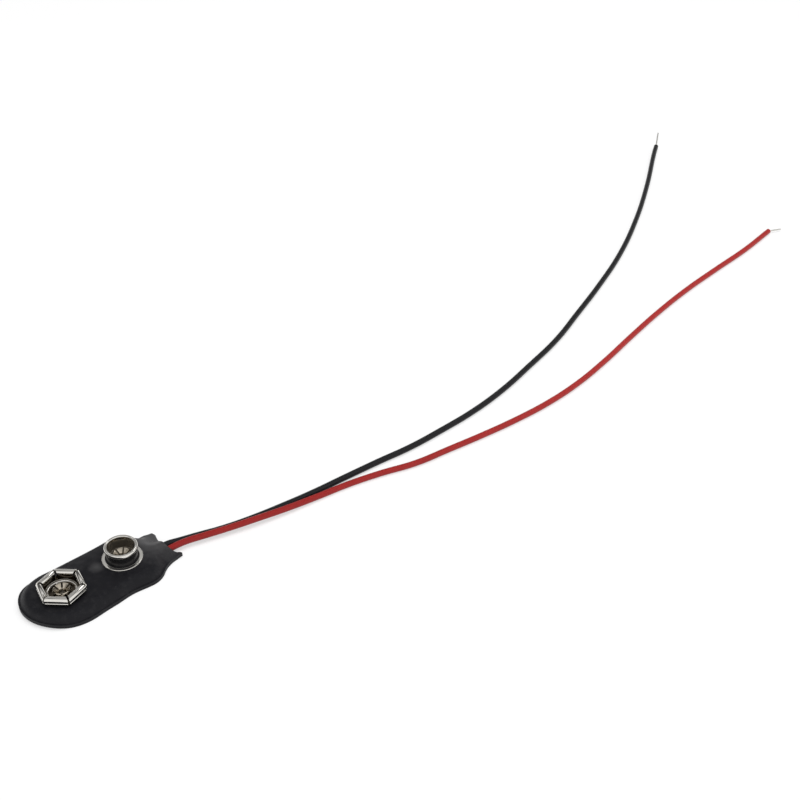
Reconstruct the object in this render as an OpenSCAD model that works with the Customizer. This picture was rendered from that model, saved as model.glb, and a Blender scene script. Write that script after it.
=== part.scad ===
// Snap connector for a nine volt battery: two riveted terminals on a board,
// sealed between two soft vinyl sheets, with a red and a black lead.
// Frame: X runs along the cover towards the leads, Z is up, and the origin is
// under the middle of the cover, on the surface that it lies on. Millimetres.

/* [Vinyl cover] */
// Length of the cover, from its round end to the middle of its two tips
cover_len = 29.4; // [28.6:0.1:34]
// Width of the cover between its straight sides
cover_w = 14.8; // [14.2:0.1:16]
// Width of the tail at its tips
tail_w = 8.3; // [8:0.1:9.4]
// Thickness of each vinyl sheet
sheet_t = 0.4; // [0.3:0.05:0.6]
// Radius of the outward curve of each shoulder
shoulder_r = 4.2; // [3.4:0.1:5]
// Radius of the inward curve from shoulder to tail
neck_r = 6.5; // [5.5:0.1:7]
// How far the end edge is hollowed between the tips of the tail
tail_hollow = 1.1; // [0.6:0.1:1.6]
// How far the askew end edge puts the lower tip forward, and the upper tip back
tail_skew = 0.55; // [0:0.05:0.8]
// How far the tail is set over to its lower side
tail_lean = 0.35; // [0:0.05:0.6]
// Level run on which the top sheet falls from the board to the welded rim
drape_run = 2; // [1.6:0.1:2.2]

/* [Insulating board] */
// Width of the board
board_w = 8.4; // [7.8:0.1:8.8]
// Thickness of the board
board_t = 0.5; // [0.4:0.05:0.8]
// How far the board runs past the middle of the stud
board_past = 4.2; // [3.6:0.1:4.6]
// Radius of the corners at the tail end of the board
board_corner_r = 3.2; // [2.8:0.1:3.6]

/* [Terminals] */
// Distance between the two terminals
pitch = 12.7; // [12.5:0.05:12.9]
// How far the socket sits off the middle line of the cover, to its lower side
socket_aside = 0.5; // [0:0.1:0.6]
// Thickness of the plated metal
metal_t = 0.25; // [0.2:0.01:0.3]
// Diameter of the rolled rim on the stud
stud_rim_d = 6.1; // [5.95:0.05:6.3]
// Diameter of the mouth inside the rim of the stud
stud_mouth_d = 5; // [4.8:0.05:5.1]
// Straight height of the rim of the stud
stud_rim_band = 0.3; // [0.2:0.05:0.5]
// Diameter of the neck of the stud below its rim
stud_neck_d = 5.7; // [5.5:0.05:5.8]
// Diameter of the foot flange of the stud
stud_flange_d = 7.5; // [7:0.1:8]
// Height of the stud above the vinyl
stud_h = 3; // [2.6:0.05:3.4]
// Gap between opposite petals of the socket where they grip
socket_throat = 5.74; // [5.7:0.01:5.84]
// Height of the socket above the vinyl
socket_h = 1.9; // [1.7:0.05:2.2]
// Width of the rolled lip on each petal of the socket
socket_lip_w = 1.15; // [0.9:0.05:1.2]
// Straight leg at the outer end of a rolled lip
socket_lip_leg = 0.55; // [0.2:0.05:0.7]
// Distance between opposite flats of the foot of the socket
socket_foot = 7.2; // [7:0.05:7.6]
// Width of the slit between two petals of the socket
socket_slit = 0.38; // [0.1:0.02:0.5]
// Angle from the length of the cover to the first corner of the socket
socket_turn = 17; // [0:1:30]

/* [Rivets] */
// Diameter of the shank of a rivet
rivet_d = 2.2; // [2:0.1:2.4]
// Wall of the tube of a rivet
rivet_wall = 0.3; // [0.2:0.05:0.4]
// Diameter of the head of a rivet
rivet_head_d = 3.2; // [2.8:0.1:3.2]
// Thickness of the head of a rivet
rivet_head_t = 0.35; // [0.25:0.05:0.4]
// Number of tongues that the end of a rivet splits into
rivet_tongues = 6; // [4:1:8]
// Length of a tongue from the tube to its tip
rivet_tongue_len = 1.1; // [0.8:0.05:1.3]
// Angle that a tongue still rises at after it is splayed
rivet_splay = 40; // [20:1:60]
// Width of the split between two tongues
rivet_split = 0.4; // [0.2:0.05:0.5]
// Gap around a rivet, and around the dish of the socket, in each hole
rivet_clear = 0.05; // [0.02:0.01:0.1]
// Angle that the tongues in the stud are turned by from those in the socket
stud_tongue_turn = -15; // [-30:1:30]

/* [Leads] */
// Diameter of the insulation of a lead
wire_d = 1.25; // [1.1:0.05:1.4]
// Diameter of the stranded conductor of a lead
core_d = 0.4; // [0.3:0.05:0.6]
// Room above a lead between the sheets
wire_clear = 0.1; // [0.05:0.01:0.2]
// Place of the middle of the two leads across the tail
lead_y = -1.4; // [-1.6:0.1:-1.2]
// Bare length at the far end of the red lead
red_bare = 3.5; // [2:0.5:8]
// Bare length at the far end of the black lead
black_bare = 9; // [2:0.5:10]
// Angle that the bare end of the red lead is bent by
red_bend = -34; // [-60:1:60]
// Angle that the bare end of the black lead is bent by
black_bend = 3; // [-60:1:60]

/* [Hidden] */
$fn = 64;

// Colours, as the object shows them
vinyl_black = [0.13, 0.13, 0.14];
board_brown = [0.42, 0.27, 0.16];
nickel = [0.78, 0.76, 0.72];
solder_grey = [0.62, 0.63, 0.65];
red_pvc = [0.68, 0.2, 0.2];
black_pvc = [0.17, 0.17, 0.19];
tinned = [0.8, 0.8, 0.78];

// Places along the cover
end_r = cover_w / 2;
tip_x = cover_len / 2;
end_x = end_r - tip_x;
stud_x = end_x + pitch;
socket_x = stud_x - sqrt(pitch ^ 2 - socket_aside ^ 2);
socket_at = [socket_x, -socket_aside];
stud_at = [stud_x, 0];
shoulder_drop = (cover_w - tail_w) / 2;
shoulder_turn = acos(1 - shoulder_drop / (shoulder_r + neck_r));
shoulder_x = tip_x - (shoulder_r + neck_r) * sin(shoulder_turn);

// Heights of the layers
wire_room = wire_d + wire_clear;
wire_z = sheet_t + wire_clear / 2 + wire_d / 2;
board_z = sheet_t + wire_room;
sheet_z = board_z + board_t;
foot_z = sheet_z + sheet_t;
rivet_z = board_z - rivet_head_t;
floor_z = foot_z + metal_t;

// Drape of the top sheet: a welded rim, then a fall from the board
drape_margin = 0.6;
rim_w = end_r - board_w / 2 - drape_margin - drape_run;
tail_start = stud_x + board_past + drape_margin;

// Arch of the tail over the two leads, which falls to a weld along each side of the tail
arch_margin = 0.175;
arch_half = wire_d / 2 + arch_margin;
tail_weld = 0.7;
arch_low_run = tail_w / 2 + tail_lean + lead_y - arch_half - tail_weld;
arch_high_run = tail_w / 2 - tail_lean - lead_y - arch_half - tail_weld;

// Grid of the top sheet
end_steps = 14;
end_first_turn = 4;
side_steps = 6;
shoulder_steps = 8;
neck_steps = 9;
fall_steps = 6;
flat_steps = 8;

// The splits between the tongues of a rivet start a little above the floor
split_rise = rivet_wall / 4;

// Dish that the floor of the socket forms: it goes through the vinyl down to the board
dish_depth = sheet_t;
dish_r = socket_foot / 2 - 3 * metal_t;
dish_floor_z = floor_z - dish_depth;

// How far a rivet hole is cut past the layers that it passes through
hole_past = 1;

// Solder on the rivet heads
solder_r = 1.35;
solder_h = 0.85;

// Route of the red lead: its insulation starts halfway from the socket's rivet to a first turn
red_turn = [-1.3, -2.4];
red_start = (socket_at + red_turn) / 2;
red_route = [
    [red_start.x, red_start.y, wire_z], [red_turn.x, red_turn.y, wire_z],
    [3, -2.7, wire_z], [7, -2.6, wire_z],
    [11, -2.2, wire_z], [14.5, -2.1, wire_z], [17, -2.4, 1.2], [21, -3.5, 1.25], [26, -4.9, 1.3],
    [31.5, -6.2, 1.3], [38, -7.3, 1], [44.5, -8.1, 0.7], [51, -9, 0.63], [58, -10.6, 0.63],
    [65.5, -12.8, 0.63], [73.5, -13.9, 0.63], [82, -15, 0.63], [90.5, -15.8, 0.63],
    [100, -16.1, 0.63], [110, -15.4, 0.63], [121, -13.5, 0.63], [133, -10.8, 0.63],
    [145.5, -8.2, 0.63], [158.5, -6.1, 0.63], [171.5, -4.7, 0.63], [185, -3.4, 0.63],
    [197, -1.5, 0.63]];

// Route of the black lead, from the stud's rivet to its bare end
black_route = [
    [8.6, -0.3, wire_z], [11.8, -0.6, wire_z], [14.5, -0.75, wire_z], [17, -1.1, 0.72],
    [20, -1.9, 0.63], [25, -3.5, 0.63], [31, -4.8, 0.63], [38, -5.8, 0.63], [44.5, -6.5, 0.63],
    [51, -6.9, 0.63], [60, -7.5, 0.63], [68, -8.2, 0.63], [77, -8.2, 0.63], [86, -7.8, 0.63],
    [96, -6.4, 0.63], [107, -3.8, 0.63], [119, -0.6, 0.63], [131, 3.9, 0.63], [144.5, 9.2, 0.63],
    [159, 15.6, 0.63], [175, 24.3, 0.63], [192, 35, 0.63], [210, 47.5, 0.63], [213.5, 49.8, 0.63]];
cord_sides = 8;

// Upper half of the edge from the tip of the tail to the round end: each entry is a
// point and the direction that points out of the cover there
upper_edge = [
    for (i = [0 : neck_steps])
        let (a = shoulder_turn * i / neck_steps, out = [sin(a), cos(a)])
        [[tip_x, tail_w / 2 + neck_r] - neck_r * out, out],
    for (i = [1 : shoulder_steps])
        let (a = shoulder_turn * (1 - i / shoulder_steps), out = [sin(a), cos(a)])
        [[shoulder_x, end_r - shoulder_r] + shoulder_r * out, out],
    for (i = [1 : side_steps])
        [[shoulder_x + (end_x - shoulder_x) * i / side_steps, end_r], [0, 1]],
    for (i = [1 : end_steps])
        let (a = 90 - (90 - end_first_turn) * i / end_steps, out = [-cos(a), sin(a)])
        [[end_x, 0] + end_r * out, out]];

// Smooth step from 0 to 1
function ease(t) = let (c = min(1, max(0, t))) c * c * (3 - 2 * c);

// Rise from 0 to 1 that starts steep and rounds off
function round_off(t) = let (c = min(1, max(0, t))) 1 - (1 - c) ^ 2;

// Distances in from the edge: the rim, then the steps of the fall
insets = [0, for (k = [0 : fall_steps]) rim_w + drape_run * k / fall_steps];

// Half a row across the cover, from its upper edge in to its flat middle
function half_row(e) = [for (d = insets) e[0] - d * e[1]];

// Whole row across the cover, from its lower edge to its upper edge
function full_row(e) =
    let (half = half_row(e), inner = half[len(half) - 1])
    concat([for (p = half) [p.x, -p.y]],
           [for (k = [1 : flat_steps - 1]) [inner.x, inner.y * (2 * k / flat_steps - 1)]],
           [for (k = [len(half) - 1 : -1 : 0]) half[k]]);

// Point of a row with the tail set over, and its end edge cut askew and hollowed
function tailored(p, edge) =
    let (into_tail = max(0, edge.x - shoulder_x) / (tip_x - shoulder_x), across = p.y / edge.y)
    [p.x - into_tail * (tail_hollow * (1 - abs(across) ^ 3) + tail_skew * across),
     p.y - tail_lean * into_tail ^ 2];

// Plan of the top sheet, row by row from the tail to the round end
plan = [for (e = upper_edge) [for (p = full_row(e)) tailored(p, e[0])]];

// Share of the full height that the fall leaves at each column of a row
fall = [for (d = insets) round_off((d - rim_w) / drape_run)];
columns = concat(fall, [for (k = [1 : flat_steps - 1]) 1], [for (k = [len(fall) - 1 : -1 : 0]) fall[k]]);

// Height of the underside of the top sheet at a point of a column
function drape(p, column) =
    let (over_board = (wire_room + board_t) * columns[column],
         aside = p.y - lead_y,
         arch_run = aside < 0 ? arch_low_run : arch_high_run,
         over_leads = wire_room * (1 - ease((abs(aside) - arch_half) / arch_run)),
         tail = ease((p.x - tail_start) / drape_run))
    sheet_t + over_board * (1 - tail) + over_leads * tail;

// Two triangles of a four-sided face
function quad(a, b, c, d) = [[a, b, c], [a, c, d]];

// Sheet between two grids of rows that run from the tail to the round end, where a strip
// closes the last row on itself
module row_sheet(upper, lower) {
    rows = len(upper);
    cols = len(upper[0]);
    under = rows * cols;
    last = (rows - 1) * cols;
    edge_cols = len(insets);
    flat_points = concat([for (row = upper) each row], [for (row = lower) each row]);
    fields = [for (i = [0 : rows - 2], j = [0 : cols - 2])
        let (a = i * cols + j)
        each quad(a, a + cols, a + cols + 1, a + 1)];
    strip = [for (j = [0 : edge_cols - 3])
        let (low = last + j, high = last + cols - 1 - j)
        each quad(low, high, high - 1, low + 1)];
    fan_low = last + edge_cols - 2;
    fan_high = last + cols - edge_cols + 1;
    fan = [for (a = [fan_low + 1 : fan_high - 2]) [fan_low, a + 1, a]];
    top_faces = concat(fields, strip, fan, [[fan_low, fan_high, fan_high - 1]]);
    low_faces = [for (f = top_faces) [f[0] + under, f[2] + under, f[1] + under]];
    sides = [for (i = [0 : rows - 2])
        let (low = i * cols, high = low + cols - 1)
        each concat(quad(low + cols, low, low + under, low + cols + under),
                    quad(high, high + cols, high + cols + under, high + under))];
    tail_end = [for (j = [0 : cols - 2]) each quad(j, j + 1, j + 1 + under, j + under)];
    round_end = quad(last + cols - 1, last, last + under, last + cols - 1 + under);
    polyhedron(flat_points, concat(top_faces, low_faces, sides, tail_end, round_end));
}

// Hole that a rivet passes through
module rivet_hole() {
    translate([0, 0, -hole_past])
        cylinder(d = rivet_d + 2 * rivet_clear, h = floor_z + 2 * hole_past);
}

module top_cover() {
    lower = [for (row = plan) [for (j = [0 : len(row) - 1]) [row[j].x, row[j].y, drape(row[j], j)]]];
    upper = [for (row = lower) [for (p = row) p + [0, 0, sheet_t]]];
    color(vinyl_black) difference() {
        row_sheet(upper, lower);
        translate(stud_at) rivet_hole();
        translate(socket_at) cylinder(r = dish_r + metal_t + rivet_clear, h = floor_z + hole_past);
    }
}

// Closed outline of the cover
function cover_outline() =
    let (cols = len(plan[0]))
    concat([for (row = plan) row[0]],
           [for (i = [len(plan) - 1 : -1 : 0]) plan[i][cols - 1]],
           [for (j = [cols - 2 : -1 : 1]) plan[0][j]]);

module bottom_cover() {
    color(vinyl_black) linear_extrude(sheet_t) polygon(cover_outline());
}

// Plan of the board: a full round at the socket and two round corners
module board_plan() {
    high = stud_x + board_past;
    translate([end_x, 0]) circle(d = board_w);
    translate([end_x, -board_w / 2]) square([high - board_corner_r - end_x, board_w]);
    translate([stud_x, board_corner_r - board_w / 2])
        square([board_past, board_w - 2 * board_corner_r]);
    for (side = [-1, 1])
        translate([high - board_corner_r, side * (board_w / 2 - board_corner_r)]) circle(board_corner_r);
}

module insulating_board() {
    color(board_brown) difference() {
        translate([0, 0, board_z]) linear_extrude(board_t) board_plan();
        translate(socket_at) rivet_hole();
        translate(stud_at) rivet_hole();
    }
}

// Section of a petal: it leans in to the throat and rolls outwards over the top
module petal_section() {
    roll_r = socket_lip_w / 2;
    roll_x = socket_throat / 2 + roll_r;
    roll_z = socket_h - roll_r;
    foot_x = socket_foot / 2 - metal_t;
    polygon([[foot_x - metal_t, 0], [foot_x, 0],
             [socket_throat / 2 + metal_t, roll_z], [socket_throat / 2, roll_z]]);
    difference() {
        union() {
            translate([roll_x, roll_z]) circle(roll_r);
            translate([roll_x, roll_z - socket_lip_leg]) square([roll_r, socket_lip_leg]);
        }
        translate([roll_x, roll_z]) circle(roll_r - metal_t);
        translate([roll_x - roll_r, roll_z - 2 * roll_r]) square([roll_r, 2 * roll_r]);
        translate([roll_x - metal_t, roll_z - 2 * roll_r]) square([roll_r, 2 * roll_r]);
    }
}

// Half section of the dish in the middle of the socket, with a hollow corner around its floor
module dish_section() {
    translate([0, -dish_depth]) square([dish_r + metal_t, metal_t]);
    difference() {
        translate([dish_r - dish_depth, metal_t - dish_depth]) square([dish_depth + metal_t, dish_depth]);
        translate([dish_r - dish_depth, metal_t]) circle(dish_depth);
    }
}

module positive_socket() {
    reach = socket_foot;
    color(nickel) translate([socket_at.x, socket_at.y, foot_z]) rotate(socket_turn) {
        difference() {
            cylinder(d = socket_foot / cos(30), h = metal_t, $fn = 6);
            translate([0, 0, -hole_past]) cylinder(r = dish_r, h = 2 * hole_past);
        }
        difference() {
            rotate_extrude() dish_section();
            translate([0, 0, -foot_z]) rivet_hole();
        }
        for (i = [0 : 5]) rotate(30 + 60 * i) intersection() {
            rotate([90, 0, 0]) linear_extrude(2 * reach, center = true) petal_section();
            translate([socket_slit, 0, 0]) linear_extrude(2 * socket_h)
                polygon([[0, 0], [reach, -reach * tan(30)], [reach, reach * tan(30)]]);
        }
    }
}

// Half section of the stud: foot, neck and rolled rim
module stud_section() {
    rim_r = (stud_rim_d - stud_mouth_d) / 4;
    rim_x = stud_mouth_d / 2 + rim_r;
    rim_top = stud_h - rim_r;
    neck_inner = stud_neck_d / 2 - metal_t;
    square([stud_flange_d / 2 - metal_t / 2, metal_t]);
    translate([stud_flange_d / 2 - metal_t / 2, metal_t / 2]) circle(metal_t / 2);
    translate([neck_inner, 0]) square([metal_t, rim_top]);
    translate([rim_x, rim_top]) circle(rim_r);
    translate([rim_x, rim_top - stud_rim_band]) circle(rim_r);
    translate([rim_x - rim_r, rim_top - stud_rim_band]) square([2 * rim_r, stud_rim_band]);
}

module negative_stud() {
    color(nickel) translate([stud_at.x, stud_at.y, foot_z]) difference() {
        rotate_extrude() stud_section();
        translate([0, 0, -foot_z]) rivet_hole();
    }
}

// Half section of a tubular rivet with its end splayed over a floor at a height
module rivet_section(floor) {
    shank_inner = rivet_d / 2 - rivet_wall;
    inner = [shank_inner, floor];
    outer = [rivet_d / 2, floor];
    splay = rivet_tongue_len * [cos(rivet_splay), sin(rivet_splay)];
    translate([shank_inner, rivet_z]) square([rivet_wall, floor - rivet_z]);
    translate([shank_inner, rivet_z]) square([rivet_head_d / 2 - shank_inner, rivet_head_t]);
    polygon([inner, outer, outer + splay, inner + splay]);
}

module rivet(floor) {
    color(nickel) difference() {
        rotate_extrude() rivet_section(floor);
        for (i = [0 : rivet_tongues - 1]) rotate(360 / rivet_tongues * i)
            translate([0, -rivet_split / 2, floor + split_rise])
                cube([rivet_d + rivet_tongue_len, rivet_split, rivet_tongue_len]);
    }
}

module socket_rivet() {
    translate(socket_at) rivet(dish_floor_z);
}

module stud_rivet() {
    translate(stud_at) rotate(stud_tongue_turn) rivet(floor_z);
}

// Bare conductor from a rivet to the place where the insulation of a lead starts
module inner_end(rivet_at, start) {
    way = [start.x, start.y] - rivet_at;
    translate([rivet_at.x, rivet_at.y, start.z]) rotate(atan2(way.y, way.x)) rotate([0, 90, 0])
        cylinder(d = core_d, h = norm(way));
}

// Dome of solder under the head of a rivet, around the end of the conductor
module solder(rivet_at, start) {
    ball_r = (solder_r ^ 2 + solder_h ^ 2) / (2 * solder_h);
    color(solder_grey) difference() {
        translate([rivet_at.x, rivet_at.y, rivet_z - solder_h]) intersection() {
            translate([0, 0, ball_r]) sphere(ball_r);
            cylinder(r = 2 * solder_r, h = solder_h);
        }
        inner_end(rivet_at, start);
    }
}

module socket_solder() {
    solder(socket_at, red_route[0]);
}

module stud_solder() {
    solder(stud_at, black_route[0]);
}

// Unit direction of a route at one of its points
function heading(route, i) =
    let (way = route[min(i + 1, len(route) - 1)] - route[max(i - 1, 0)]) way / norm(way);

// Ring of points around a route
function ring(route, i, r) =
    let (ahead = heading(route, i), side = cross([0, 0, 1], ahead), out = side / norm(side),
         up = cross(ahead, out))
    [for (k = [0 : cord_sides - 1]) let (a = 360 * (k + 0.5) / cord_sides)
        route[i] + r * (cos(a) * out + sin(a) * up)];

// Round cord along a route
module cord(route, d) {
    last = (len(route) - 1) * cord_sides;
    points = [for (i = [0 : len(route) - 1]) each ring(route, i, d / 2)];
    walls = [for (i = [0 : len(route) - 2], k = [0 : cord_sides - 1])
        let (a = i * cord_sides + k, b = i * cord_sides + (k + 1) % cord_sides)
        each quad(a, a + cord_sides, b + cord_sides, b)];
    polyhedron(points, concat(walls, [[for (k = [0 : cord_sides - 1]) k]],
        [[for (k = [cord_sides - 1 : -1 : 0]) last + k]]));
}

module red_lead() {
    color(red_pvc) cord(red_route, wire_d);
}

module black_lead() {
    color(black_pvc) cord(black_route, wire_d);
}

// Bare conductor past the far end of a lead, bent to one side and set clear of the insulation
module far_end(route, bare, bend) {
    finish = route[len(route) - 1];
    ahead = heading(route, len(route) - 1);
    clear = core_d / 2 * abs(sin(bend));
    translate(finish + clear * ahead) rotate(atan2(ahead.y, ahead.x) + bend) rotate([0, 90, 0])
        cylinder(d = core_d, h = bare);
}

module red_conductor() {
    color(tinned) {
        inner_end(socket_at, red_route[0]);
        far_end(red_route, red_bare, red_bend);
    }
}

module black_conductor() {
    color(tinned) {
        inner_end(stud_at, black_route[0]);
        far_end(black_route, black_bare, black_bend);
    }
}

top_cover();
bottom_cover();
insulating_board();
positive_socket();
negative_stud();
socket_rivet();
stud_rivet();
socket_solder();
stud_solder();
red_lead();
black_lead();
red_conductor();
black_conductor();
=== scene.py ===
import math

import bmesh
import bpy
from bpy.props import FloatProperty, FloatVectorProperty, IntProperty, PointerProperty
from mathutils import Matrix, Vector


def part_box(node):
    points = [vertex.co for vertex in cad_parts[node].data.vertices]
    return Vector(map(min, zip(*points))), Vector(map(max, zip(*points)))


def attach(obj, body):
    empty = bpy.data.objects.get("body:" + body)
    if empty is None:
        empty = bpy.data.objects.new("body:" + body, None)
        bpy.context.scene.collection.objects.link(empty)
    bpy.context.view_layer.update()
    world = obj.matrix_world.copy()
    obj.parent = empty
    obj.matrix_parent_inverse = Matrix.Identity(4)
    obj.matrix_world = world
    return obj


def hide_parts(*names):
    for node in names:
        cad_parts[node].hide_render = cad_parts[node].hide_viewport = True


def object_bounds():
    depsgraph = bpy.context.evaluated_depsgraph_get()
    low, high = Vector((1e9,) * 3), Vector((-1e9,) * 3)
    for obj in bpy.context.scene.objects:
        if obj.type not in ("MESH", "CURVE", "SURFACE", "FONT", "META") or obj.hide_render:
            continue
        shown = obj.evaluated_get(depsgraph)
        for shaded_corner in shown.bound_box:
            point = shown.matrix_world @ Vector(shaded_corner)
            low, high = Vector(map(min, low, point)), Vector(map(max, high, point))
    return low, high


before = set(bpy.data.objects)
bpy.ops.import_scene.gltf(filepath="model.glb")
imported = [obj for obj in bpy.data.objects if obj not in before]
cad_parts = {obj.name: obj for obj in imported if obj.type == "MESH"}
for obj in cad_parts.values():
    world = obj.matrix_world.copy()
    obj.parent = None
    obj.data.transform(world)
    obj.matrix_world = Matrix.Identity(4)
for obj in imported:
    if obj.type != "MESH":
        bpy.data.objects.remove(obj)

bl_info = {
    "name": "Nine volt battery snap",
    "version": (1, 0, 0),
    "blender": (4, 5, 0),
    "location": "3D View > Sidebar > Snap",
    "description": "Builds a battery snap: two terminals between vinyl sheets, and two leads",
    "category": "Object",
}

MM = 0.001
CAD_LOW, CAD_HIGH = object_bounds()

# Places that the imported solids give
COVER_LOW, COVER_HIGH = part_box("bottom_cover")
_, TOP_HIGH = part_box("top_cover")
BOARD_LOW, BOARD_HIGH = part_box("insulating_board")
SOCKET_LOW, SOCKET_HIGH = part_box("positive_socket")
STUD_LOW, STUD_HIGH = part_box("negative_stud")
RIVET_LOW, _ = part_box("stud_rivet")
SHEET = COVER_HIGH.z - COVER_LOW.z
COVER_WIDE = COVER_HIGH.y
TIP_X = -COVER_LOW.x
END_X = COVER_LOW.x + COVER_WIDE
FOOT_Z = TOP_HIGH.z
SOCKET_AT = Vector(((SOCKET_LOW.x + SOCKET_HIGH.x) / 2, (SOCKET_LOW.y + SOCKET_HIGH.y) / 2, FOOT_Z))
STUD_AT = Vector(((STUD_LOW.x + STUD_HIGH.x) / 2, (STUD_LOW.y + STUD_HIGH.y) / 2, FOOT_Z))
BOARD_UNDER = BOARD_LOW.z - COVER_HIGH.z
RUB_AT = Vector((0.5 * MM, 0.9 * MM, FOOT_Z))

# Routes of the two leads in millimetres, from each rivet to the bare end, and last on the floor
WIRE_Z = 1.075
LYING_Z = 0.63
RED_ROUTE = [
    (-4.295, -1.45, WIRE_Z), (-1.3, -2.4, WIRE_Z), (3, -2.7, WIRE_Z), (7, -2.6, WIRE_Z),
    (11, -2.2, WIRE_Z), (14.5, -2.1, WIRE_Z), (17, -2.4, 1.2), (21, -3.5, 1.25), (26, -4.9, 1.3),
    (31.5, -6.2, 1.3), (38, -7.3, 1), (44.5, -8.1, 0.7)]
RED_ROUTE += [(x, y, LYING_Z) for x, y in (
    (51, -9), (58, -10.6), (65.5, -12.8), (73.5, -13.9), (82, -15), (90.5, -15.8), (100, -16.1),
    (110, -15.4), (121, -13.5), (133, -10.8), (145.5, -8.2), (158.5, -6.1), (171.5, -4.7),
    (185, -3.4), (197, -1.5))]
BLACK_ROUTE = [
    (8.6, -0.3, WIRE_Z), (11.8, -0.6, WIRE_Z), (14.5, -0.75, WIRE_Z), (17, -1.1, 0.72)]
BLACK_ROUTE += [(x, y, LYING_Z) for x, y in (
    (20, -1.9), (25, -3.5), (31, -4.8), (38, -5.8), (44.5, -6.5), (51, -6.9), (60, -7.5),
    (68, -8.2), (77, -8.2), (86, -7.8), (96, -6.4), (107, -3.8), (119, -0.6), (131, 3.9),
    (144.5, 9.2), (159, 15.6), (175, 24.3), (192, 35), (210, 47.5), (213.5, 49.8))]
RED_EXIT = (13.7, -2.1, WIRE_Z)
BLACK_EXIT = (13.6, -0.7, WIRE_Z)
RED_LENGTH = 0.204
BLACK_LENGTH = 0.219


def linear(red, green, blue):
    """A colour in the shader's linear light, from three numbers of 0 to 255."""
    return tuple((c / 255 / 12.92) if c < 10.3 else ((c / 255 + 0.055) / 1.055) ** 2.4
                 for c in (red, green, blue))


def size(name, description, default):
    """A length that a user can change."""
    return FloatProperty(name=name, description=description, default=default, min=0,
                         unit="LENGTH", precision=5)


def tint(name, description, default):
    """A colour that a user can change."""
    return FloatVectorProperty(name=name, description=description, default=default,
                               subtype="COLOR", size=3, min=0, max=1)


class SnapCoverSizes(bpy.types.PropertyGroup):
    """Sizes of the two vinyl sheets."""

    tail_width: size("Tail width", "Width of the cover at the tips of its tail", 8.3 * MM)
    shoulder_radius: size("Shoulder radius", "Outward curve of each shoulder", 4.2 * MM)
    neck_radius: size("Neck radius", "Inward curve from shoulder to tail", 6.5 * MM)
    tail_hollow: size("Tail hollow", "How far the middle of the end edge lies behind the full length",
                      1.1 * MM)
    upper_tip: size("Upper tip", "How far the upper tip stands out of the end edge", 1.05 * MM)
    lower_tip: size("Lower tip", "How far the lower tip stands out of the end edge", 1.65 * MM)
    tip_curl: size("Tip curl", "How far the lower tip curls up", 0.2 * MM)
    tail_lean: size("Tail lean", "How far the tail is set over to its lower side", 0.35 * MM)
    rim_width: size("Rim width", "Width of the welded rim", 0.3 * MM)
    fall_run: size("Fall run", "Level run on which the sheet falls to the rim", 1.6 * MM)
    tail_run: size("Tail run", "Level run on which the sheet falls past the board", 4.6 * MM)
    arch_half: size("Arch", "Half the width of the level top of the arch over the leads", 0.6 * MM)
    arch_low_run: size("Low arch run", "Level run of the arch on the lower side", 1.6 * MM)
    arch_high_run: size("High arch run", "Level run of the arch on the upper side", 2.8 * MM)
    end_lift: size("End lift", "How far the rim of the round end stands off the floor", 0.5 * MM)
    edge_wave: size("Edge wave", "How far the sides wander from straight", 0.28 * MM)
    cut_round: size("Cut edge", "Rounding of the cut edge of a sheet", 0.05 * MM)


class SnapTerminalSizes(bpy.types.PropertyGroup):
    """Sizes of the metal terminals."""

    metal: size("Metal", "Thickness of the plated metal", 0.25 * MM)
    throat: size("Throat", "Gap between opposite petals of the socket", 5.74 * MM)
    lip: size("Lip", "Width of the rolled lip of a petal", 1.15 * MM)
    lip_leg: size("Lip leg", "Straight leg at the outer end of a rolled lip", 0.55 * MM)
    foot: size("Foot", "Distance between opposite flats of the foot of the socket", 7.2 * MM)
    slit: size("Slit", "Width of the slit between two petals", 0.38 * MM)
    lip_flare: size("Lip flare", "Radius of the flared edge of a rolled lip", 0.14 * MM)
    lip_curl: FloatProperty(name="Lip curl", default=math.radians(13), subtype="ANGLE",
                            description="How far a rolled lip curls in past the upright")
    turn: FloatProperty(name="Turn", description="Angle to the first corner of the socket",
                        default=math.radians(17), subtype="ANGLE")
    rim: size("Rim", "Diameter of the rolled rim of the stud", 6.1 * MM)
    mouth: size("Mouth", "Diameter of the mouth of the stud", 5 * MM)
    neck: size("Neck", "Diameter of the neck of the stud", 5.7 * MM)
    band: size("Band", "Straight height of the rim of the stud", 0.3 * MM)
    shank: size("Shank", "Diameter of the shank of a rivet", 2.2 * MM)
    rivet_wall: size("Rivet wall", "Wall of the tube of a rivet", 0.3 * MM)
    tongues: IntProperty(name="Tongues", description="Tongues that a rivet splits into",
                         default=6, min=3, max=10, subtype="UNSIGNED")
    tongue: size("Tongue", "Length of a tongue from the tube to its tip", 1.1 * MM)
    splay: FloatProperty(name="Splay", description="Angle that a splayed tongue still rises at",
                         default=math.radians(40), subtype="ANGLE")
    split: size("Split", "Width of the split between two tongues", 0.4 * MM)
    stud_tongue_turn: FloatProperty(name="Tongue turn", description="Turn of the tongues in the stud",
                                    default=math.radians(-15), subtype="ANGLE")
    rivet_head: size("Rivet head", "Diameter of the head of a rivet", 3.2 * MM)
    head_thick: size("Head thickness", "Thickness of the head of a rivet", 0.35 * MM)


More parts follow.
